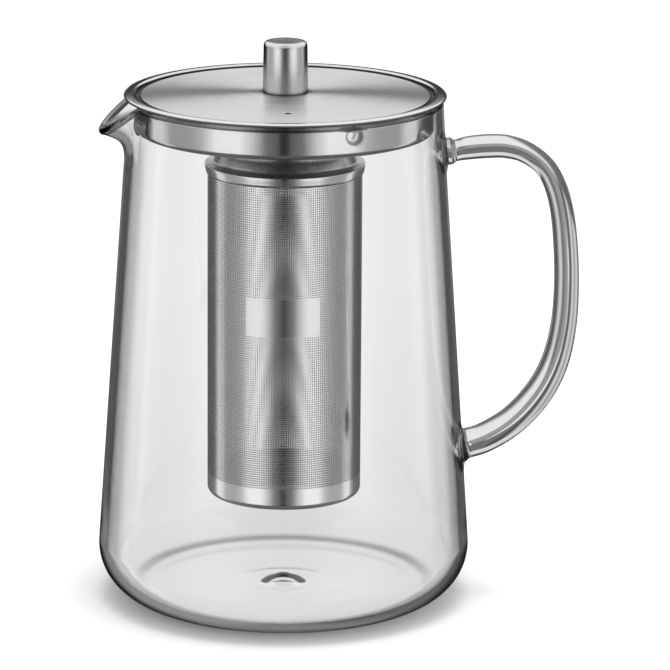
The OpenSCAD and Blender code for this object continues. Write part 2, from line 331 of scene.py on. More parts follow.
def brushed_disc_material():
    m, nt, b, out = new_mat("steel_brushed_mat")
    r, a, z, tc = polar_coords(nt)
    b.inputs["Metallic"].default_value = 1.0
    b.inputs["Anisotropic"].default_value = 0.92
    b.inputs["Anisotropic Rotation"].default_value = 0.25
    tan = node(nt, "ShaderNodeTangent", direction_type="RADIAL", axis="Z")
    nt.links.new(tan.outputs[0], b.inputs["Tangent"])
    # circular brush marks: fine in radius, long in angle
    lines = noise(nt, combine(nt, math_node(nt, "MULTIPLY", r, 5200.0), math_node(nt, "MULTIPLY", a, 1.6), 0.0), 1.0, 3.0, 0.6)
    broad = noise(nt, combine(nt, math_node(nt, "MULTIPLY", r, 420.0), math_node(nt, "MULTIPLY", a, 0.9), 3.0), 1.0, 2.0, 0.5)
    mix = math_node(nt, "ADD", math_node(nt, "MULTIPLY", lines, 0.6), math_node(nt, "MULTIPLY", broad, 0.4))
    tone = ramp_color(nt, mix, [(0.30, (0.77, 0.767, 0.767)), (0.70, (0.86, 0.857, 0.857))])
    # painted shadow: the plate darkens in a ring round the knob's foot, from 7.3 to 11.3 mm
    painted_knob_shadow = ramp_color(nt, map_range(nt, r, 0.0073, 0.0113, 0.0, 1.0), [(0.0, 0.12), (0.2, 0.42), (0.5, 0.86), (1.0, 1.0)])
    mul = node(nt, "ShaderNodeMix", data_type="RGBA", blend_type="MULTIPLY")
    mul.inputs["Factor"].default_value = 1.0
    nt.links.new(tone, mul.inputs["A"])
    nt.links.new(painted_knob_shadow, mul.inputs["B"])
    nt.links.new(mul.outputs["Result"], b.inputs["Base Color"])
    nt.links.new(map_range(nt, mix, 0.3, 0.7, 0.30, 0.38), b.inputs["Roughness"])
    bump(nt, lines, 0.10, 0.00002, b)
    return m


def polished_material(name, base=(0.80, 0.80, 0.80), rough=(0.05, 0.10), aniso=0.0, mirrored=None, upper=None, outer=None):
    m, nt, b, out = new_mat(name)
    r, a, z, tc = polar_coords(nt)
    b.inputs["Metallic"].default_value = 1.0
    if aniso:
        b.inputs["Anisotropic"].default_value = aniso
        tan = node(nt, "ShaderNodeTangent", direction_type="RADIAL", axis="Z")
        nt.links.new(tan.outputs[0], b.inputs["Tangent"])
        b.inputs["Anisotropic Rotation"].default_value = 0.25
    smudge = noise(nt, tc.outputs["Object"], 90.0, 3.0, 0.6)
    col = ramp_color(nt, smudge, [(0.3, tuple(c * 0.96 for c in base)), (0.7, base)])
    if mirrored:
        # painted shade: the colour is darkened where it is seen in a mirror (Glossy Depth above 0.5), so the knob
        # shows darker in the plate
        lp = nt.nodes.new("ShaderNodeLightPath")
        mx = node(nt, "ShaderNodeMix", data_type="RGBA", blend_type="MULTIPLY")
        nt.links.new(math_node(nt, "GREATER_THAN", lp.outputs["Glossy Depth"], 0.5), mx.inputs["Factor"])
        nt.links.new(col, mx.inputs["A"])
        mx.inputs["B"].default_value = (mirrored, mirrored, mirrored, 1)
        col = mx.outputs["Result"]
    if outer:
        # brighter beyond a radius, where the flat of the shoulder is
        mx = node(nt, "ShaderNodeMix", data_type="RGBA")
        nt.links.new(map_range(nt, r, outer[0], outer[1], 0.0, 1.0), mx.inputs["Factor"])
        nt.links.new(col, mx.inputs["A"])
        mx.inputs["B"].default_value = (outer[2], outer[2], outer[2], 1)
        col = mx.outputs["Result"]
    if upper:
        # painted shadow: darker above a height, where the part sits under the lid
        mx = node(nt, "ShaderNodeMix", data_type="RGBA", blend_type="MULTIPLY")
        mx.inputs["Factor"].default_value = 1.0
        nt.links.new(col, mx.inputs["A"])
        nt.links.new(ramp_color(nt, map_range(nt, z, upper[0], upper[1], 0.0, 1.0), [(0.0, 1.0), (1.0, upper[2])]), mx.inputs["B"])
        col = mx.outputs["Result"]
    nt.links.new(col, b.inputs["Base Color"])
    nt.links.new(map_range(nt, smudge, 0.3, 0.7, rough[0], rough[1]), b.inputs["Roughness"])
    # hairline spinning marks
    lines = noise(nt, combine(nt, math_node(nt, "MULTIPLY", z, 3800.0), math_node(nt, "MULTIPLY", a, 1.2), math_node(nt, "MULTIPLY", r, 3800.0)), 1.0, 2.0, 0.6)
    bump(nt, lines, 0.05, 0.00001, b)
    return m


MAT_GLASS = glass_material("glass_clear_mat")
# painted reflection: the handle's glass darkens towards its edges by Layer Weight facing
MAT_ROD = glass_material("glass_rod_mat", [(0.0, 0.99), (0.42, 0.98), (0.6, 0.5), (0.8, 0.12), (1.0, 0.08)])
# painted shade: the jug's rim bead is tinted dark all over (0.34 to 0.16, darker towards its edges), standing in for
# the dark lines seen through the rim
MAT_LIP_SHADE = glass_material("glass_lip_shade_mat", [(0.0, 0.34), (0.5, 0.28), (1.0, 0.16)])
MAT_DISC = brushed_disc_material()
# painted shade: near-black steel for the lid's outer edge and its underside, standing in for the dark seam between lid
# and glass
MAT_RIM_SHADE = polished_material("steel_rim_shade_mat", (0.13, 0.13, 0.132), (0.38, 0.46), 0.0)
MAT_POLISH = polished_material("steel_polished_mat")
# painted shade: the knob's colour drops to 0.12 of itself where it is seen in a mirror
MAT_KNOB = polished_material("steel_turned_mat", (0.80, 0.80, 0.805), (0.14, 0.17), 0.9, 0.12)
MAT_KNOB_TOP = polished_material("steel_turned_top_mat", (0.78, 0.78, 0.785), (0.16, 0.22), 0.0)
# painted shade: near-black steel for the lid's groove and the steam hole's walls, where shade falls in the recesses
MAT_GROOVE_SHADE = polished_material("steel_groove_shade_mat", (0.045, 0.045, 0.048), (0.45, 0.55), 0.0)
MAT_PERF = polished_material("steel_perforated_mat", (0.92, 0.92, 0.92), (0.13, 0.18), 0.0)
# painted shade: the neck and flare get a darker base (0.50) than polished steel, standing in for the dark lid
# underside they mirror; beyond 23.2 to 24.3 mm the flat goes back to 0.9, and above 152.2 mm it darkens further as a
# painted shadow under the lid
MAT_SATIN_SHADED = polished_material("steel_satin_shaded_mat", (0.50, 0.50, 0.505), (0.24, 0.30), 0.0, None, (0.1522, 0.1537, 0.62), (0.0232, 0.0243, 0.9))
# painted shade: near-black steel for the inside face of the perforated tube, which lies in shade
MAT_INSIDE_SHADE = polished_material("steel_inside_shade_mat", (0.08, 0.08, 0.082), (0.40, 0.50), 0.0)
MAT_PANEL = polished_material("steel_panel_mat", (0.84, 0.84, 0.84), (0.16, 0.2), 0.0)
MAT_PLAIN = polished_material("steel_plain_mat", (0.66, 0.66, 0.67), (0.28, 0.35), 0.0)

# ------------------------------------------------------------------ jug (glass, one piece with its spout and handle)
BASE_R, TAPER, CORNER, WALL, FLOOR_T = 63.1, 0.069, 17.8, 2.4, 2.8
JUG_H, RIM_R = 169.4, 51.8
LEAN = math.degrees(math.atan(TAPER))
K = math.hypot(1, TAPER)
CX = BASE_R - TAPER * CORNER - CORNER * K
IN_C = CORNER - WALL
IN_Z = FLOOR_T + IN_C
IN_X = BASE_R - WALL * K - TAPER * IN_Z - IN_C * K
Z0 = 148.0
HALF = WALL / 2
N_TOP = 46


def wall_r(z):
    return BASE_R - TAPER * z


def kick(r):
    k = 0.7 * math.cos(math.radians(90 * r / 30)) ** 2 if r < 30 else 0.0
    # pressed button with a soft shoulder
    if r < 7.8:
        k += 2.4 * math.cos(math.radians(90 * r / 7.8)) ** 2
    k += 0.07 * math.exp(-(((r - 14.5) / 2.6) ** 2))
    return k


def columns():
    """Azimuths (deg, 0 at +X) round the jug, finer at the spout and at the dimple."""
    out, a = [], -180.0
    fine = []
    while a < 180 - 1e-9:
        d_spout = min(abs(a - 180), abs(a + 180))
        d_dimple = abs(a - DIMPLE_AZ)
        step = 1.8
        if d_spout < 34:
            step = 0.7
        if d_dimple < 5.2:
            step = 0.35
        if abs(a) < 9:
            step = 0.6
        out.append(a)
        a += step
    return np.array(out)


AZ = columns()
NC = len(AZ)
CA, SA = np.cos(np.radians(AZ)), np.sin(np.radians(AZ))
PHI = ((AZ + 180.0 + 180.0) % 360.0) - 180.0  # angle from -X, mirrored in Y
PHI0 = 22.5


def revolve_rows(profile):
    return np.array([[(r * CA[j], r * SA[j], z) for j in range(NC)] for r, z in profile])


# bottom and lower wall, outside, from the centre outwards and up
outer_low = [(r, kick(r)) for r in np.linspace(0.6, 30, 30)] + [(r, 0.0) for r in np.linspace(31.5, CX, 8)]
outer_low += arc(CX, CORNER, CORNER, -90, LEAN, 34)[1:]
LOW_Z = np.concatenate([np.linspace(outer_low[-1][1], 42, 5)[1:], np.linspace(42, 60, 25)[1:], np.linspace(60, 139, 7)[1:], np.linspace(139, Z0, 13)[1:]])
outer_low += [(wall_r(z), z) for z in LOW_Z]
n_out = np.array([math.cos(math.radians(LEAN)), math.sin(math.radians(LEAN))])  # wall's outward normal (r, z)
p_in0 = (wall_r(Z0) - WALL * n_out[0], Z0 - WALL * n_out[1])
inner_low = [(r, FLOOR_T + kick(r)) for r in np.linspace(0.6, 30, 30)] + [(r, FLOOR_T) for r in np.linspace(31.5, IN_X, 8)]
inner_low += arc(IN_X, IN_Z, IN_C, -90, LEAN, 34)[1:]
zi = inner_low[-1][1]
inner_low += [(inner_low[-1][0] + (p_in0[0] - inner_low[-1][0]) * t, zi + (p_in0[1] - zi) * t) for t in np.linspace(0, 1, 9)[1:]]

# middle surface of the neck and the spout
ROOT_R = wall_r(Z0) - HALF * n_out[0]
ROOT_Z = Z0 - HALF * n_out[1]
LIP_R, LIP_Z = RIM_R - HALF, JUG_H - HALF
TIP_X, NOTCH_X, NOTCH_Y = -59.75, -46.75, 19.37
TIP_Z = 157.75


def lip_points():
    """End of the middle surface in each column: the rim's circle, and the spout's drawn-out lip."""
    pts = np.zeros((NC, 3))
    for j in range(NC):
        f = PHI[j]
        if abs(f) >= PHI0:
            pts[j] = (LIP_R * CA[j], LIP_R * SA[j], LIP_Z)
        else:
            b = math.radians(90 * abs(f) / PHI0)
            # plan: an ellipse whose nose is a little fuller than a true one
            x = NOTCH_X + (TIP_X - NOTCH_X) * math.cos(b) ** 0.94
            y = NOTCH_Y * math.sin(b) ** 1.06
            t = (NOTCH_X - x) / (NOTCH_X - TIP_X)
            z = LIP_Z + (TIP_Z - LIP_Z) * (0.92 * t + 0.08 * t**3)
            pts[j] = (x, -math.copysign(y, f), z)
    # soften the two notches: smooth over the angle
    fine = np.abs(PHI) < 33
    idx = np.where(fine)[0]
    order = idx[np.argsort(PHI[idx])]
    p = pts[order]
    kern = np.exp(-0.5 * (np.arange(-8, 9) / 2.6) ** 2)
    kern /= kern.sum()
    pad = np.concatenate([np.repeat(p[:1], 8, 0), p, np.repeat(p[-1:], 8, 0)])
    sm = np.stack([np.convolve(pad[:, k], kern, "valid") for k in range(3)], 1)
    f = np.abs(PHI[order])
    w = np.clip((32 - f) / 5, 0, 1)[:, None]
    w = np.where(f[:, None] < 3.0, 0.6, w)
    pts[order] = p * (1 - w) + sm * w
    return pts


LIP = lip_points()


def top_surface():
    """Rows of the middle surface from the wall's root to the lip, and the lip's own direction in each column."""
    t = 1 - (1 - np.linspace(0, 1, N_TOP)) ** 1.5
    root = np.stack([ROOT_R * CA, ROOT_R * SA, np.full(NC, ROOT_Z)], 1)
    rim = np.stack([LIP_R * CA, LIP_R * SA, np.full(NC, LIP_Z)], 1)
    f = np.abs(PHI)
    # how much each column is drawn out
    w = np.clip(1 - f / (PHI0 + 3.5), 0, 1)
    w = np.where(f < PHI0 + 3.5, np.sin(np.pi / 2 * w) ** 1.35, 0)[:, None]
    up = rim - root
    length = np.linalg.norm(up, axis=1, keepdims=True)
    up = up / length
    out = LIP - rim
    plan = np.stack([LIP[:, 0] + 40, LIP[:, 1], np.zeros(NC)], 1)
    plan /= np.linalg.norm(plan, axis=1, keepdims=True)
    tip_dir = plan * 0.93 + np.array([0, 0, 0.37])
    tip_dir /= np.linalg.norm(tip_dir, axis=1, keepdims=True)
    d = up * (1 - w) + tip_dir * w
    d /= np.linalg.norm(d, axis=1, keepdims=True)
    b0, b3 = root, LIP
    b1 = root + up * (length / 3 * (1 - w) + 8.2 * w)
    b2 = LIP - d * (length / 3 * (1 - w) + 5.2 * w)
    T = t[:, None, None]
    m = b0 * (1 - T) ** 3 + 3 * b1 * T * (1 - T) ** 2 + 3 * b2 * T * T * (1 - T) + b3 * T**3
    return m, d


MID, LIP_DIR = top_surface()


def surface_normals(m):
    """Outward unit normals of a grid of rows, which runs round in its columns."""
    du = np.roll(m, -1, 1) - np.roll(m, 1, 1)
    dv = np.gradient(m, axis=0)
    dv /= np.maximum(np.linalg.norm(dv, axis=2, keepdims=True), 1e-9)
    n = np.cross(du, dv)
    return n / np.linalg.norm(n, axis=2, keepdims=True)


NRM = surface_normals(MID)
# the first row continues the straight wall
for j in range(NC):
    NRM[0, j] = (n_out[0] * CA[j], n_out[0] * SA[j], n_out[1])
HTH = np.full((N_TOP, NC), HALF)
HTH[:, :] += 0.10 * ((1 - (1 - np.linspace(0, 1, N_TOP)) ** 1.5) ** 6)[:, None] * np.clip(1 - np.abs(PHI) / PHI0, 0, 1)[None, :]
lip_dist = np.linalg.norm(MID[-1][None] - MID, axis=2)
HTH += 0.15 * np.exp(-((lip_dist / 0.6) ** 2.5))
outer_top = MID + NRM * HTH[..., None]
inner_top = MID - NRM * HTH[..., None]


def pad(points, z0, height, radius, power):
    """Raises the wall where an end of the handle is fused on."""
    x, y, z = points[..., 0], points[..., 1], points[..., 2]
    d = np.hypot(y, z - z0)
    k = np.where(x > 0, height * np.exp(-((d / radius) ** power)), 0.0)
    out = points.copy()
    out[..., 0] += k
    return out


def dimple(points, depth, radius, power):
    """Pushes points near the dimple towards the axis."""
    x, y, z = points[..., 0], points[..., 1], points[..., 2]
    r = np.hypot(x, y)
    az = np.degrees(np.arctan2(y, x))
    s = np.hypot(np.radians(az - DIMPLE_AZ) * r, (z - DIMPLE_Z) * 0.96)
    push = depth * np.exp(-((s / radius) ** power))
    k = (r - push) / r
    out = points.copy()
    out[..., 0] *= k
    out[..., 1] *= k
    return out


outer_top = dimple(outer_top, 0.55, 2.8, 5.0)
outer_top = pad(outer_top, 150.6, 0.75, 5.5, 5.0)

# rounded lip
cap_rows = []
for a in np.linspace(0, 180, 13)[1:-1]:
    ca, sa = math.cos(math.radians(a)), math.sin(math.radians(a))
    cap_rows.append(MID[-1] + HTH[-1][:, None] * (NRM[-1] * ca + LIP_DIR * sa))
cap_rows = np.array(cap_rows)

rows = np.concatenate(
    [pad(pad(revolve_rows(outer_low)[:-1], 150.6, 0.75, 5.5, 5.0), 50.6, 0.75, 6.3, 5.0), outer_top, cap_rows, inner_top[::-1], revolve_rows(inner_low)[:-1][::-1]]
)
NR = len(rows)
verts = rows.reshape(-1, 3)
faces = grid_faces(NR, NC).tolist()
c0, c1 = len(verts), len(verts) + 1
verts = np.concatenate([verts, [[0, 0, kick(0)], [0, 0, FLOOR_T + kick(0)]]])
faces += [[c0, (j + 1) % NC, j] for j in range(NC)]
last = (NR - 1) * NC
faces += [[c1, last + j, last + (j + 1) % NC] for j in range(NC)]
jug = make_mesh("jug_glass", verts, faces, None, (MAT_GLASS,))

# ------------------------------------------------------------------ handle
ROD = [
    [46, 150.0, 4.2], [49.5, 150.6, 4.0], [53, 151.1, 3.75], [56.2, 151.5, 3.55], [60, 152.3, 3.85], [65.5, 152.9, 3.95], [72.3, 152.9, 3.85], [79, 151, 3.6],
    [85.2, 146.4, 3.45], [89, 139.6, 3.65], [91.3, 131, 3.85], [92.6, 120.5, 4.05], [93.2, 107.5, 4.15],
    [92.6, 93.5, 4.35], [89.9, 80.3, 4.65], [84.6, 69.4, 4.9], [76.2, 59.8, 5], [66.8, 53.7, 5.05], [59.5, 51.4, 5.0],
    [55.5, 50.7, 5.0], [52, 50.2, 5.0],
]


def rod_mesh(name):
    path = catmull(ROD, 14)
    c, r = path[:, [0, 1]], path[:, 2].copy()
    d = np.gradient(c, axis=0)
    d /= np.linalg.norm(d, axis=1, keepdims=True)
    # the ends spread where they are fused to the wall
    for k in range(len(path)):
        x, z = c[k]
        gap = x - wall_r(z)
        upper = z > 100
        if x < 66:
            if upper:
                # a soft collar just outside the wall
                r[k] += 0.72 * math.exp(-(((gap - 1.7) / 1.05) ** 2)) + 1.0 * math.exp(-max(gap, 0) / 0.8)
            else:
                r[k] += 1.0 * math.exp(-max(gap, 0) / 0.8)
    sides = 40
    ring = np.radians(np.arange(sides) * 360 / sides)
    v = []
    for k in range(len(path)):
        n = np.array([d[k][1], 0, -d[k][0]])
        for a in ring:
            p = np.array([c[k][0], 0, c[k][1]]) + r[k] * (n * math.cos(a) + np.array([0, 1, 0]) * math.sin(a))
            v.append(p)
    f = grid_faces(len(path), sides, flip=False).tolist()
    m = len(path)
    f.append(list(range(sides))[::-1])
    f.append([(m - 1) * sides + i for i in range(sides)])
    return make_mesh(name, v, f, None, (MAT_GLASS,))


def fix_normals(ob):
    bm = bmesh.new()
    bm.from_mesh(ob.data)
    bmesh.ops.recalc_face_normals(bm, faces=bm.faces)
    bm.to_mesh(ob.data)
    bm.free()
    ob.data.update()


rod = rod_mesh("handle_rod")
fix_normals(rod)
fix_normals(jug)


def boolean(target, other, operation, solver="MANIFOLD"):
    mod = target.modifiers.new("bool", "BOOLEAN")
    mod.operation = operation
    mod.object = other
    mod.solver = solver
    dg = bpy.context.evaluated_depsgraph_get()
    me = bpy.data.meshes.new_from_object(target.evaluated_get(dg))
    target.modifiers.clear()
    old = target.data
    target.data = me
    bpy.data.meshes.remove(old)
    bpy.data.objects.remove(other)


# the rod's ends stop inside the wall: cut them off with the jug's hollow, then fuse them
core = lathe("core_cut", [(0, 20), (wall_r(20) - 1.3, 20), (wall_r(166) - 1.3, 166), (0, 166)], 128, None)
fix_normals(core)
boolean(rod, core, "DIFFERENCE")
boolean(jug, rod, "UNION")
jug.data.polygons.foreach_set("use_smooth", np.ones(len(jug.data.polygons), bool))
jug.data.set_sharp_from_angle(angle=math.radians(50))
jug.data.materials.clear()
jug.data.materials.append(MAT_GLASS)
jug.data.materials.append(MAT_ROD)
jug.data.materials.append(MAT_LIP_SHADE)
tree = KDTree(NC)
for j in range(NC):
    tree.insert(LIP[j], j)
tree.balance()
# faces at the rim's bead take the dark lip glass (painted shade); the handle's faces take the rod glass with its
# painted dark edges
for poly in jug.data.polygons:
    c = poly.center / MM
    if c.z > 150 and tree.find(c)[2] < 1.6:
        poly.material_index = 2
    if c.x > wall_r(c.z) + (3.6 if c.z > 100 else 1.6) and c.z > 20:
        poly.material_index = 1
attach(jug, "jug")
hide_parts("jug", "handle")

# ------------------------------------------------------------------ lid
PLATE_Z, CROWN, PLATE_T, PLATE_R, LID_R = 169.7, 1.1, 0.8, 47.3, 52.9
CROWN_Z = PLATE_Z + CROWN
SEAT = 7.8


def crown(r, z0, re):
    return z0 + CROWN * (1 - (max(r - SEAT, 0) / (re - SEAT)) ** 3)


disc_top = [(r, crown(r, PLATE_Z, PLATE_R)) for r in np.linspace(2.15, PLATE_R, 46)]
groove = [(PLATE_R + 0.16, PLATE_Z - 0.03), (PLATE_R + 0.24, PLATE_Z - 0.14), (PLATE_R + 0.3, PLATE_Z - 0.42), (PLATE_R + 0.5, PLATE_Z - 0.56),
          (PLATE_R + 1.35, PLATE_Z - 0.56), (PLATE_R + 1.6, PLATE_Z - 0.4), (PLATE_R + 1.72, PLATE_Z + 0.05)]
rim = smooth_profile([
    (PLATE_R + 1.72, PLATE_Z + 0.05), (PLATE_R + 1.84, PLATE_Z + 0.36), (PLATE_R + 2.06, PLATE_Z + 0.62), (PLATE_R + 2.4, PLATE_Z + 0.76),
    (PLATE_R + 2.85, PLATE_Z + 0.79), (PLATE_R + 3.6, PLATE_Z + 0.745), (PLATE_R + 4.3, PLATE_Z + 0.67), (LID_R - 0.7, PLATE_Z + 0.58), (LID_R - 0.28, PLATE_Z + 0.36),
    (LID_R - 0.04, PLATE_Z + 0.04), (LID_R - 0.12, PLATE_Z - 0.18), (LID_R - 0.45, JUG_H + 0.02), (LID_R - 0.9, JUG_H)], 5)[1:]
under = [(49.5, JUG_H), (49.2, JUG_H - 0.28), (48.9, PLATE_Z - PLATE_T), (46.4, PLATE_Z - PLATE_T)]
under += [(r, crown(r, PLATE_Z - PLATE_T, 46.4)) for r in np.linspace(46.4, 2.15, 24)[1:]]
lid_profile = disc_top + groove + rim + under
# the groove and the rim's inner slope take the near-black groove material: painted shade in the recess
n_disc = len(disc_top) - 1
n_groove = n_disc + len(groove) + 4
lid = lathe("lid_plate_steel", lid_profile, 256, 40, (MAT_DISC, MAT_POLISH, MAT_GROOVE_SHADE, MAT_RIM_SHADE), lambda k: 0 if k < n_disc else (2 if k < n_groove else 1), closed_profile=True)
fix_normals(lid)
# steam hole, with a slightly broken edge
hx, hy = 34.3 * math.cos(math.radians(-87.8)), 34.3 * math.sin(math.radians(-87.8))


def plug(name, prof, x, y, cols=40):
    ob = lathe(name, prof, cols, None)
    fix_normals(ob)
    ob.data.transform(Matrix.Translation((x * MM, y * MM, 0)))
    return ob


zt = crown(34.3, PLATE_Z, PLATE_R)
boolean(lid, plug("steam_cut", [(0, zt - 3), (1.2, zt - 3), (1.2, zt - 0.1), (1.36, zt + 0.06), (1.36, zt + 3), (0, zt + 3)], hx, hy), "DIFFERENCE")
lid.data.polygons.foreach_set("use_smooth", np.ones(len(lid.data.polygons), bool))
lid.data.set_sharp_from_angle(angle=math.radians(35))
for poly in lid.data.polygons:
    c = poly.center / MM
    # the steam hole's walls take the near-black groove material: painted shade
    if math.hypot(c.x - hx, c.y - hy) < 1.33 and abs(poly.normal.z) < 0.6:
        poly.material_index = 2
    # the lid's outer edge and underside take the near-black rim material: painted shade
    if math.hypot(c.x, c.y) > LID_R - 0.62 and poly.normal.z < 0.8:
        poly.material_index = 3
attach(lid, "lid")
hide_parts("lid_plate")

SKT = PLATE_Z - PLATE_T
SKB = SKT - 10.9
skirt = lathe("lid_skirt_steel", [(47.9, SKT)] + [(48.6, SKT)] + [(48.6, SKB + 2.3)] + arc(46.4, SKB + 2.2, 2.2, 0, -90, 18)
              + arc(46.4, SKB + 2.2, 1.5, -90, 0, 10), 256, 40, (MAT_POLISH,), closed_profile=True)
fix_normals(skirt)
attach(skirt, "lid")
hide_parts("lid_skirt")

SOCK_R, SOCK_B = 21.30, JUG_H - 0.9 - 10.5
socket = lathe("infuser_socket_steel", [(SOCK_R - 0.8, SOCK_B), (SOCK_R - 0.3, SOCK_B), (SOCK_R, SOCK_B + 0.5), (SOCK_R, crown(SOCK_R, PLATE_Z - PLATE_T, 46.4)),
                                       (SOCK_R - 0.8, crown(SOCK_R - 0.8, PLATE_Z - PLATE_T, 46.4))], 160, 40, (MAT_POLISH,), closed_profile=True)
fix_normals(socket)
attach(socket, "lid")
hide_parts("infuser_socket")

# ------------------------------------------------------------------ knob, screw and washer
KH, K1, K2 = 16.8, 7.45, 7.2
knob_prof = [(2.0, CROWN_Z), (K1 - 0.3, CROWN_Z), (K1 - 0.08, CROWN_Z + 0.07), (K1, CROWN_Z + 0.3)]
knob_prof += [(K1 + (K2 - K1) * t, CROWN_Z + 0.3 + (KH - 1.7) * t) for t in np.linspace(0, 1, 14)[1:]]
knob_prof += arc(K2 - 1.4, CROWN_Z + KH - 1.4, 1.4, 0, 90, 12)[1:]
n_side = len(knob_prof) - 1
knob_prof += [(r, CROWN_Z + KH) for r in (4.4, 3.0, 1.5, 0.0)]
knob_prof += [(0.0, CROWN_Z + 9.0), (2.0, CROWN_Z + 9.0)]
knob = lathe("knob_steel", knob_prof, 128, 30, (MAT_KNOB, MAT_KNOB_TOP), lambda k: 1 if k >= n_side else 0, closed_profile=True)
fix_normals(knob)
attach(knob, "lid")
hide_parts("knob")

for name in ("knob_washer", "knob_screw"):
    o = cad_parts[name]
    o.data.materials.clear()
    o.data.materials.append(MAT_PLAIN)

# ------------------------------------------------------------------ infuser
BAND1, BANDH, TUBE_R, TUBE_T, NECK_RI = 147.0, 3.0, 25.5, 0.4, 21.36
NECK_TOP, NECK_RO = JUG_H - 1.6, 22.0
ring_out = smooth_profile([
    (TUBE_R + 0.02, BAND1 - BANDH), (TUBE_R + 0.12, BAND1 - 2.85), (TUBE_R + 0.38, BAND1 - 2.65), (TUBE_R + 0.52, BAND1 - 2.3), (TUBE_R + 0.66, BAND1 - 1.6), (TUBE_R + 0.84, BAND1 - 0.7),
    (TUBE_R + 0.97, BAND1 + 0.1), (TUBE_R + 0.86, BAND1 + 0.38), (TUBE_R + 0.4, BAND1 + 0.5), (TUBE_R - 0.6, BAND1 + 0.56),
    (NECK_RO + 2.0, BAND1 + 0.75), (NECK_RO + 1.5, BAND1 + 1.15), (NECK_RO + 1.1, BAND1 + 2.2), (NECK_RO + 0.6, BAND1 + 3.6), (NECK_RO + 0.15, BAND1 + 4.9),
    (NECK_RO, BAND1 + 6.2), (NECK_RO - 0.03, BAND1 + 10), (NECK_RO - 0.08, NECK_TOP - 0.4), (NECK_RI + 0.3, NECK_TOP)], 5)
ring_in = [(NECK_RI, NECK_TOP)] + smooth_profile([(NECK_RI, BAND1 + 6.2), (NECK_RI + 0.1, BAND1 + 4.8), (NECK_RI + 0.55, BAND1 + 3.4), (NECK_RI + 1.1, BAND1 + 1.9), (NECK_RI + 1.5, BAND1 + 0.7),
                                                (NECK_RI + 2.1, BAND1 + 0.1), (TUBE_R - 1.2, BAND1 - 0.1), (TUBE_R - 0.6, BAND1 - 0.3),
                                                (TUBE_R - 0.4, BAND1 - 0.7), (TUBE_R, BAND1 - 1.1)], 4) + [(TUBE_R, BAND1 - BANDH)]
# the ring from the lip's tip inwards takes the shaded satin steel
ring = lathe("infuser_ring_steel", ring_out + ring_in, 200, 40, (MAT_POLISH, MAT_SATIN_SHADED), lambda k: 1 if k >= 32 else 0, closed_profile=True)
fix_normals(ring)
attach(ring, "infuser")
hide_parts("infuser_ring")

INF_Z0, BASE_H = 35.2, 2.2
TB, TT = INF_Z0 + BASE_H, BAND1 - 1.1
RI = TUBE_R - TUBE_T
base_prof = [(0, INF_Z0 + 0.3), (8, INF_Z0 + 0.3), (16, INF_Z0 + 0.3), (16.5, INF_Z0 + 0.2), (17, INF_Z0)] + [(TUBE_R - BASE_H, INF_Z0)]
base_prof += arc(TUBE_R - BASE_H, INF_Z0 + BASE_H, BASE_H, -90, 0, 12)[1:]
base_prof += [(RI, TB), (RI, TB + 3), (RI - 0.5, TB + 3), (RI - 0.5, INF_Z0 + 2.2), (RI - 0.75, INF_Z0 + 1.55), (RI - 1.3, INF_Z0 + 1.1), (RI - 2.4, INF_Z0 + 0.8), (10, INF_Z0 + 0.8), (0, INF_Z0 + 0.8)]
ibase = lathe("infuser_base_steel", base_prof, 200, 40, (MAT_POLISH,))
fix_normals(ibase)
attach(ibase, "infuser")
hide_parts("infuser_base")

PITCH_N = 212
HOLE = 0.64  # hole width as a share of the pitch
PERF_Z0, PERF_Z1 = 42.5, 144.4
PANEL_Z, PANEL_A = (94.4, 106.8), 27.85


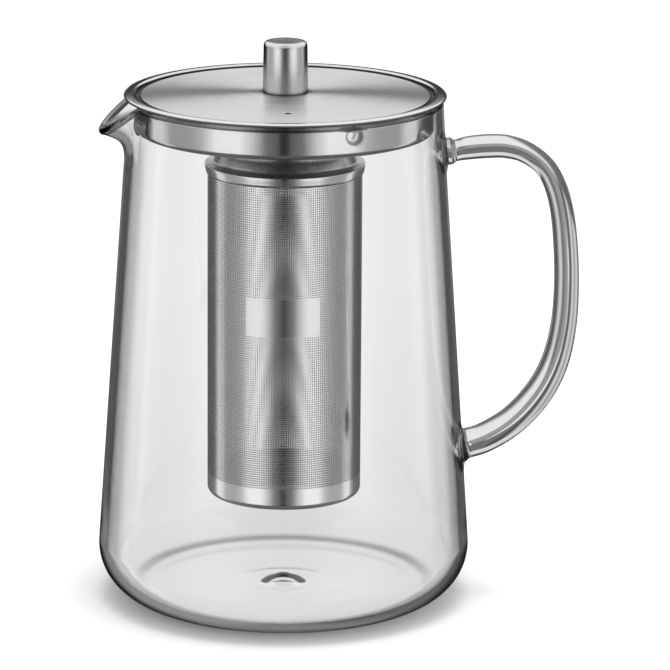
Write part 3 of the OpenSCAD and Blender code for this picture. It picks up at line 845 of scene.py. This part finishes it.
def perforated(name, z0, z1, rows, end_low, end_high):
    """A closed sleeve of the tube from end_low to end_high, with square holes in rows between z0 and z1."""
    pitch_a = 2 * math.pi / PITCH_N
    # angular stations: start of bar, start of hole; the panel is centred on -Y
    a_bar = -math.pi / 2 + (np.arange(PITCH_N)) * pitch_a
    ang = np.empty(2 * PITCH_N)
    ang[0::2] = a_bar
    ang[1::2] = a_bar + pitch_a * (1 - HOLE)
    pz = (z1 - z0) / rows
    zs = [z0]
    for i in range(rows):
        zs += [z0 + pz * i + pz * (1 - HOLE) / 2, z0 + pz * (i + 1) - pz * (1 - HOLE) / 2]
    zs.append(z1)
    # zs: z0, hole start, hole end, hole start, ... so odd cells are holes
    zs = np.array(zs)
    zs[0], zs[-1] = end_low, end_high
    nz, na = len(zs), len(ang)
    mid_a = (ang + np.roll(ang, -1)) / 2
    mid_a[-1] = ang[-1] + pitch_a * HOLE / 2
    rel = np.degrees((mid_a + math.pi / 2 + math.pi) % (2 * math.pi) - math.pi)
    zc = (zs[:-1] + zs[1:]) / 2
    hole = np.zeros((nz - 1, na), bool)
    hole[1::2, 1::2] = True
    panel = (zc[:, None] > PANEL_Z[0]) & (zc[:, None] < PANEL_Z[1]) & (np.abs(rel)[None, :] < PANEL_A)
    hole &= ~panel
    ca, sa = np.cos(ang), np.sin(ang)
    outer = np.stack([np.broadcast_to(TUBE_R * ca, (nz, na)), np.broadcast_to(TUBE_R * sa, (nz, na)), np.broadcast_to(zs[:, None], (nz, na))], -1)
    inner = np.stack([np.broadcast_to(RI * ca, (nz, na)), np.broadcast_to(RI * sa, (nz, na)), np.broadcast_to(zs[:, None], (nz, na))], -1)
    n = nz * na
    i, j = np.meshgrid(np.arange(nz - 1), np.arange(na), indexing="ij")
    j2 = (j + 1) % na
    A, B, C, D = i * na + j, i * na + j2, (i + 1) * na + j2, (i + 1) * na + j
    solid = ~hole
    fo = np.stack([A, B, C, D], -1)[solid]
    fi = np.stack([D, C, B, A], -1)[solid] + n
    h = hole
    w = []
    for p, q in ((A, B), (B, C), (C, D), (D, A)):
        w.append(np.stack([q, p, p + n, q + n], -1)[h])
    ends = []
    jj = np.arange(na)
    k2 = (jj + 1) % na
    ends.append(np.stack([k2, jj, jj + n, k2 + n], -1))
    t = (nz - 1) * na
    ends.append(np.stack([t + jj, t + k2, t + k2 + n, t + jj + n], -1))
    fs = np.concatenate([fo, fi, *w, *ends])
    # the inner face takes the near-black inside material (painted shade); the plain panel takes the panel steel
    pm = np.concatenate([panel[solid].astype(np.int32), np.full(len(fi), 2), np.zeros(sum(len(x) for x in w) + 2 * na, np.int32)])
    v = np.concatenate([outer.reshape(-1, 3), inner.reshape(-1, 3)]) * MM
    me = bpy.data.meshes.new(name)
    me.vertices.add(len(v))
    me.vertices.foreach_set("co", v.astype(np.float32).ravel())
    me.loops.add(len(fs) * 4)
    me.loops.foreach_set("vertex_index", fs.astype(np.int32).ravel())
    me.polygons.add(len(fs))
    me.polygons.foreach_set("loop_start", np.arange(0, len(fs) * 4, 4, dtype=np.int32))
    me.update(calc_edges=True)
    me.polygons.foreach_set("use_smooth", np.ones(len(fs), bool))
    me.set_sharp_from_angle(angle=math.radians(40))
    me.materials.append(MAT_PERF)
    me.materials.append(MAT_PANEL)
    me.materials.append(MAT_INSIDE_SHADE)
    me.polygons.foreach_set("material_index", pm.astype(np.int32))
    uv = me.uv_layers.new(name="OFBake")
    vi = fs.ravel()
    a = np.arctan2(v[vi, 1], v[vi, 0])
    # keep the seam's faces whole
    a4 = a.reshape(-1, 4)
    a4 = np.where(a4 < a4.max(1, keepdims=True) - math.pi, a4 + 2 * math.pi, a4)
    rr = np.hypot(v[vi, 0], v[vi, 1]).reshape(-1, 4)
    U = (a4 + math.pi) / (2 * math.pi) * 0.98
    V = (v[vi, 2].reshape(-1, 4) - end_low * MM) / ((end_high - end_low) * MM) * 0.45 + np.where(rr < (TUBE_R - TUBE_T / 2) * MM, 0.52, 0.02)
    uv.data.foreach_set("uv", np.stack([U, V], -1).astype(np.float32).ravel())
    me.update()
    ob = link(bpy.data.objects.new(name, me))
    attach(ob, "infuser")
    return ob


ROWS = 136
cuts = [0, 34, 68, 102, 136]
pz = (PERF_Z1 - PERF_Z0) / ROWS
sleeves = []
for s in range(4):
    za, zb = PERF_Z0 + pz * cuts[s], PERF_Z0 + pz * cuts[s + 1]
    low = TB if s == 0 else za
    high = TT if s == 3 else zb
    sleeves.append(perforated(f"infuser_mesh_{s + 1}", za, zb, cuts[s + 1] - cuts[s], low, high))
for ob in sleeves:
    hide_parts("infuser_tube")

# ------------------------------------------------------------------ camera
cam_data = bpy.data.cameras.new("camera")
cam = link(bpy.data.objects.new("camera", cam_data))
cam_data.lens = 243.0
cam_data.sensor_width = 36.0
cam_data.clip_start, cam_data.clip_end = 0.05, 60
target = Vector((0.01679, 0.0, 0.0886))
el = math.radians(14.4)
back = Vector((0, -math.cos(el), math.sin(el)))
cam.location = target + back * 1.5
cam.rotation_mode = "QUATERNION"
cam.rotation_quaternion = (-back).to_track_quat("-Z", "Y") @ Matrix.Rotation(math.radians(0.4), 3, "Z").to_quaternion()
bpy.context.scene.camera = cam

# ------------------------------------------------------------------ floor and light
floor_me = bpy.data.meshes.new("floor")
n_edge = 96
ring_pts = [(0.95 * math.cos(2 * math.pi * k / n_edge), 0.95 * math.sin(2 * math.pi * k / n_edge), -0.0001) for k in range(n_edge)]
floor_me.from_pydata(ring_pts, [], [list(range(n_edge))])
floor = link(bpy.data.objects.new("floor", floor_me))
m, nt, b, out = new_mat("floor_mat")
b.inputs["Base Color"].default_value = (0.93, 0.93, 0.93, 1)
b.inputs["Roughness"].default_value = 1.0
b.inputs["Specular IOR Level"].default_value = 0.0
floor_me.materials.append(m)
floor.visible_glossy = False
floor.visible_transmission = False

world = bpy.data.worlds.new("studio")
bpy.context.scene.world = world
world.use_nodes = True
world.cycles.sampling_method = "NONE"
wt = world.node_tree
for n in list(wt.nodes):
    wt.nodes.remove(n)
wout = wt.nodes.new("ShaderNodeOutputWorld")
bg = wt.nodes.new("ShaderNodeBackground")
wt.links.new(bg.outputs[0], wout.inputs[0])
tc = wt.nodes.new("ShaderNodeTexCoord")
sep = wt.nodes.new("ShaderNodeSeparateXYZ")
wt.links.new(tc.outputs["Generated"], sep.inputs[0])
X, Y, Z = sep.outputs
# azimuth 0 in front .. 180 behind, and elevation, both in degrees
az = math_node(wt, "MULTIPLY", math_node(wt, "ABSOLUTE", math_node(wt, "ARCTAN2", X, math_node(wt, "MULTIPLY", Y, -1.0))), 180 / math.pi)
elv = math_node(wt, "MULTIPLY", math_node(wt, "ARCSINE", Z), 180 / math.pi)


def table(x, stops, lo, hi):
    """A value read off a table of (degrees, value) rows."""
    t = map_range(wt, x, lo, hi, 0.0, 1.0)
    return ramp_color(wt, t, [((a - lo) / (hi - lo), v) for a, v in stops])


def blend(factor, a, b):
    n = wt.nodes.new("ShaderNodeMix")
    n.data_type = "RGBA"
    for sock, v in (("Factor", factor), ("A", a), ("B", b)):
        if isinstance(v, (int, float)):
            n.inputs[sock].default_value = v if sock == "Factor" else (v, v, v, 1)
        else:
            wt.links.new(v, n.inputs[sock])
    return n.outputs["Result"]


def step(x, a, b):
    return map_range(wt, x, a, b, 0.0, 1.0)


# what steel and the glass's outer face mirror: softboxes and dark gaps round the pot
f_low = table(az, [(0, 0.03), (2.5, 0.04), (5, 0.13), (10, 0.17), (14, 0.22), (24, 0.72), (34, 1.12), (54, 1.08), (66, 0.56), (76, 0.42), (96, 0.42),
                   (106, 0.85), (117, 0.95), (123, 0.35), (128, 0.15), (140, 0.10), (158, 0.10), (180, 0.12)], 0, 180)
f_mid = table(az, [(0, 0.03), (12, 0.06), (24, 0.4), (40, 0.85), (66, 0.6), (96, 0.45), (118, 0.8), (130, 0.12), (142, 0.05), (180, 0.05)], 0, 180)
f_edge = table(az, [(0, 0.05), (20, 0.2), (45, 0.9), (120, 0.9), (140, 0.30), (180, 0.26)], 0, 180)
f_top = table(az, [(0, 0.06), (18, 0.2), (35, 0.8), (60, 0.95), (90, 0.9), (140, 0.95), (180, 1.0)], 0, 180)
glossy = blend(step(elv, -40, -31), 0.14, f_low)
glossy = blend(step(elv, -8, -4), glossy, f_mid)
glossy = blend(step(elv, 11, 14), glossy, f_edge)
glossy = blend(step(elv, 15.2, 18.0), glossy, f_top)
glossy = blend(step(elv, 45, 62), glossy, 0.95)
# inside the jug the glass mirrors a light surround above
f_in = table(az, [(0, 0.06), (18, 0.2), (35, 0.8), (60, 0.9), (180, 0.9)], 0, 180)
# the lit edge of the table behind, to both sides
patch = math_node(wt, "MULTIPLY", math_node(wt, "MULTIPLY", step(az, 157, 162), step(az, 176, 172)),
                  math_node(wt, "MULTIPLY", step(elv, -14, -11), step(elv, 4, 1)))
glossy = blend(patch, glossy, 0.8)

# what is seen through the two walls: a white window, a grey surround
fold = math_node(wt, "PINGPONG", az, 90.0)  # degrees from the front or back
quarter = math_node(wt, "PINGPONG", az, 45.0)  # degrees from the nearest axis
g_win = table(quarter, [(0, 0.92), (5.2, 0.93), (6.6, 1.0), (7.4, 1.1), (8.4, 1.1), (9.4, 0.98), (10.6, 0.83), (13.4, 0.93), (18, 0.93), (21, 0.5), (23.5, 0.38), (27, 0.36), (33, 0.84), (45, 0.92)], 0, 45)
fade = map_range(wt, elv, -18.0, -13.5, 0.86, 1.0)
dimmer = wt.nodes.new("ShaderNodeMix")
dimmer.data_type = "RGBA"
dimmer.blend_type = "MULTIPLY"
dimmer.inputs["Factor"].default_value = 1.0
wt.links.new(g_win, dimmer.inputs["A"])
wt.links.new(fade, dimmer.inputs["B"])
g_win = dimmer.outputs["Result"]
through = blend(step(elv, -29, -23), 0.78, g_win)
through = blend(step(elv, -9, -7), through, 0.42)
through = blend(step(elv, -1, 6), through, 0.86)

# what one thickness of glass shows: the handle and the spout
out_mid = table(fold, [(0, 0.32), (4, 0.32), (8, 0.07), (12, 0.10), (16, 0.62), (20, 0.60), (25, 0.33), (28, 0.35), (36, 0.70), (44, 0.60), (57, 0.16), (64, 0.6),
                       (74, 0.8), (82, 0.3), (90, 0.35)], 0, 90)
in_mid = table(fold, [(0, 0.32), (4, 0.32), (9, 0.18), (13, 0.12), (18, 0.52), (22, 0.65), (26, 0.52), (33, 0.2), (41, 0.07), (57, 0.09), (64, 0.6),
                      (74, 0.8), (82, 0.3), (90, 0.35)], 0, 90)
out_low = table(fold, [(0, 0.84), (6, 0.84), (13, 0.14), (32, 0.09), (52, 0.10), (62, 0.7), (90, 0.8)], 0, 90)
in_low = table(fold, [(0, 0.84), (20, 0.82), (28, 0.3), (35, 0.08), (52, 0.10), (62, 0.7), (90, 0.8)], 0, 90)
side = step(X, -0.02, 0.02)
h_mid = blend(side, out_mid, in_mid)
h_low = blend(side, out_low, in_low)
single = blend(step(elv, -62, -56), 0.15, h_low)
single = blend(step(elv, -21, -18.5), single, h_mid)
single = blend(step(elv, 8.5, 11), single, 0.75)
single = blend(step(elv, 26, 30), single, 0.08)
level = math_node(wt, "MULTIPLY", step(fold, 7, 5), math_node(wt, "MULTIPLY", step(elv, -11.5, -9.5), step(elv, 9.0, 8.0)))
single = blend(level, single, 0.16)
single = blend(step(elv, 55, 70), single, 0.7)
spout_win = math_node(wt, "MULTIPLY", math_node(wt, "MULTIPLY", step(X, -0.018, -0.024), step(fold, 5.4, 4.6)),
                      math_node(wt, "MULTIPLY", step(elv, -15, -14), step(elv, -8, -9)))
single = blend(spout_win, single, 0.86)

# the edge band of the wall, where light turns back inside the glass
band = table(fold, [(0, 0.19), (6, 0.17), (12, 0.12), (18, 0.05), (30, 0.03), (90, 0.08)], 0, 90)
band_left = table(fold, [(0, 0.19), (6, 0.18), (12, 0.24), (18, 0.28), (30, 0.26), (90, 0.2)], 0, 90)
band_right = table(fold, [(0, 0.19), (6, 0.17), (12, 0.13), (18, 0.09), (30, 0.07), (90, 0.08)], 0, 90)
band = blend(step(elv, -14.6, -16.2), band, blend(side, band_left, band_right))

lp = wt.nodes.new("ShaderNodeLightPath")
G = math_node(wt, "GREATER_THAN", lp.outputs["Glossy Depth"], 0.5)
T1 = math_node(wt, "GREATER_THAN", lp.outputs["Transmission Depth"], 0.5)
T4 = math_node(wt, "GREATER_THAN", lp.outputs["Transmission Depth"], 3.5)
DIF = math_node(wt, "GREATER_THAN", lp.outputs["Diffuse Depth"], 0.5)
ONE = math_node(wt, "MULTIPLY", T1, math_node(wt, "SUBTRACT", 1.0, T4))

glossy = blend(math_node(wt, "MULTIPLY", T4, step(elv, 4, 8)), glossy, f_in)
# outside the glass the surround behind the pot is darker still
G2 = math_node(wt, "GREATER_THAN", lp.outputs["Glossy Depth"], 1.5)
T0 = math_node(wt, "SUBTRACT", 1.0, T1)
side_dark = table(az, [(0, 1.0), (100, 1.0), (110, 0.28), (119, 0.07), (146, 0.07), (166, 0.35), (180, 0.6)], 0, 180)
outer = wt.nodes.new("ShaderNodeMix")
outer.data_type = "RGBA"
outer.blend_type = "MULTIPLY"
low_ring = math_node(wt, "MULTIPLY", step(elv, 4, -2), step(elv, -36, -29))
twice = math_node(wt, "MULTIPLY", G2, step(elv, 40, 30))
wt.links.new(math_node(wt, "MULTIPLY", T0, math_node(wt, "MAXIMUM", low_ring, twice)), outer.inputs["Factor"])
wt.links.new(glossy, outer.inputs["A"])
wt.links.new(side_dark, outer.inputs["B"])
glossy = outer.outputs["Result"]
# and a light card stands high in front of it
card = table(az, [(0, 0.55), (20, 0.62), (45, 0.9), (60, 0.95), (90, 0.9), (140, 0.95), (180, 1.0)], 0, 180)
high = math_node(wt, "MULTIPLY", math_node(wt, "MULTIPLY", T0, math_node(wt, "SUBTRACT", 1.0, G2)), math_node(wt, "MULTIPLY", step(elv, 8, 12), step(az, 60, 45)))
glossy = blend(high, glossy, card)
clear = blend(T4, single, through)
# light that has met steel twice: dim inside the jug, a little dim outside it
dim = wt.nodes.new("ShaderNodeMix")
dim.data_type = "RGBA"
dim.blend_type = "MULTIPLY"
wt.links.new(G2, dim.inputs["Factor"])
wt.links.new(glossy, dim.inputs["A"])
wt.links.new(blend(T1, 0.75, 0.42), dim.inputs["B"])
mirrored = blend(ONE, dim.outputs["Result"], blend(G2, band, 0.45))
c = blend(G, clear, mirrored)
c = blend(DIF, c, 0.62)
c = blend(lp.outputs["Is Camera Ray"], c, 1.2)
wt.links.new(c, bg.inputs["Color"])
bg.inputs["Strength"].default_value = 1.0

# one round soft light above, which the floor alone sees
lamp_data = bpy.data.lights.new("overhead", "AREA")
lamp_data.shape = "DISK"
lamp_data.size = 0.55
lamp_data.energy = 23.5
lamp = link(bpy.data.objects.new("overhead", lamp_data))
lamp.location = (0.035, -0.03, 1.6)
lamp.visible_camera = False
lamp.visible_glossy = False
lamp.visible_transmission = False

vs = bpy.context.scene.view_settings
vs.view_transform = "Standard"
vs.look = "None"
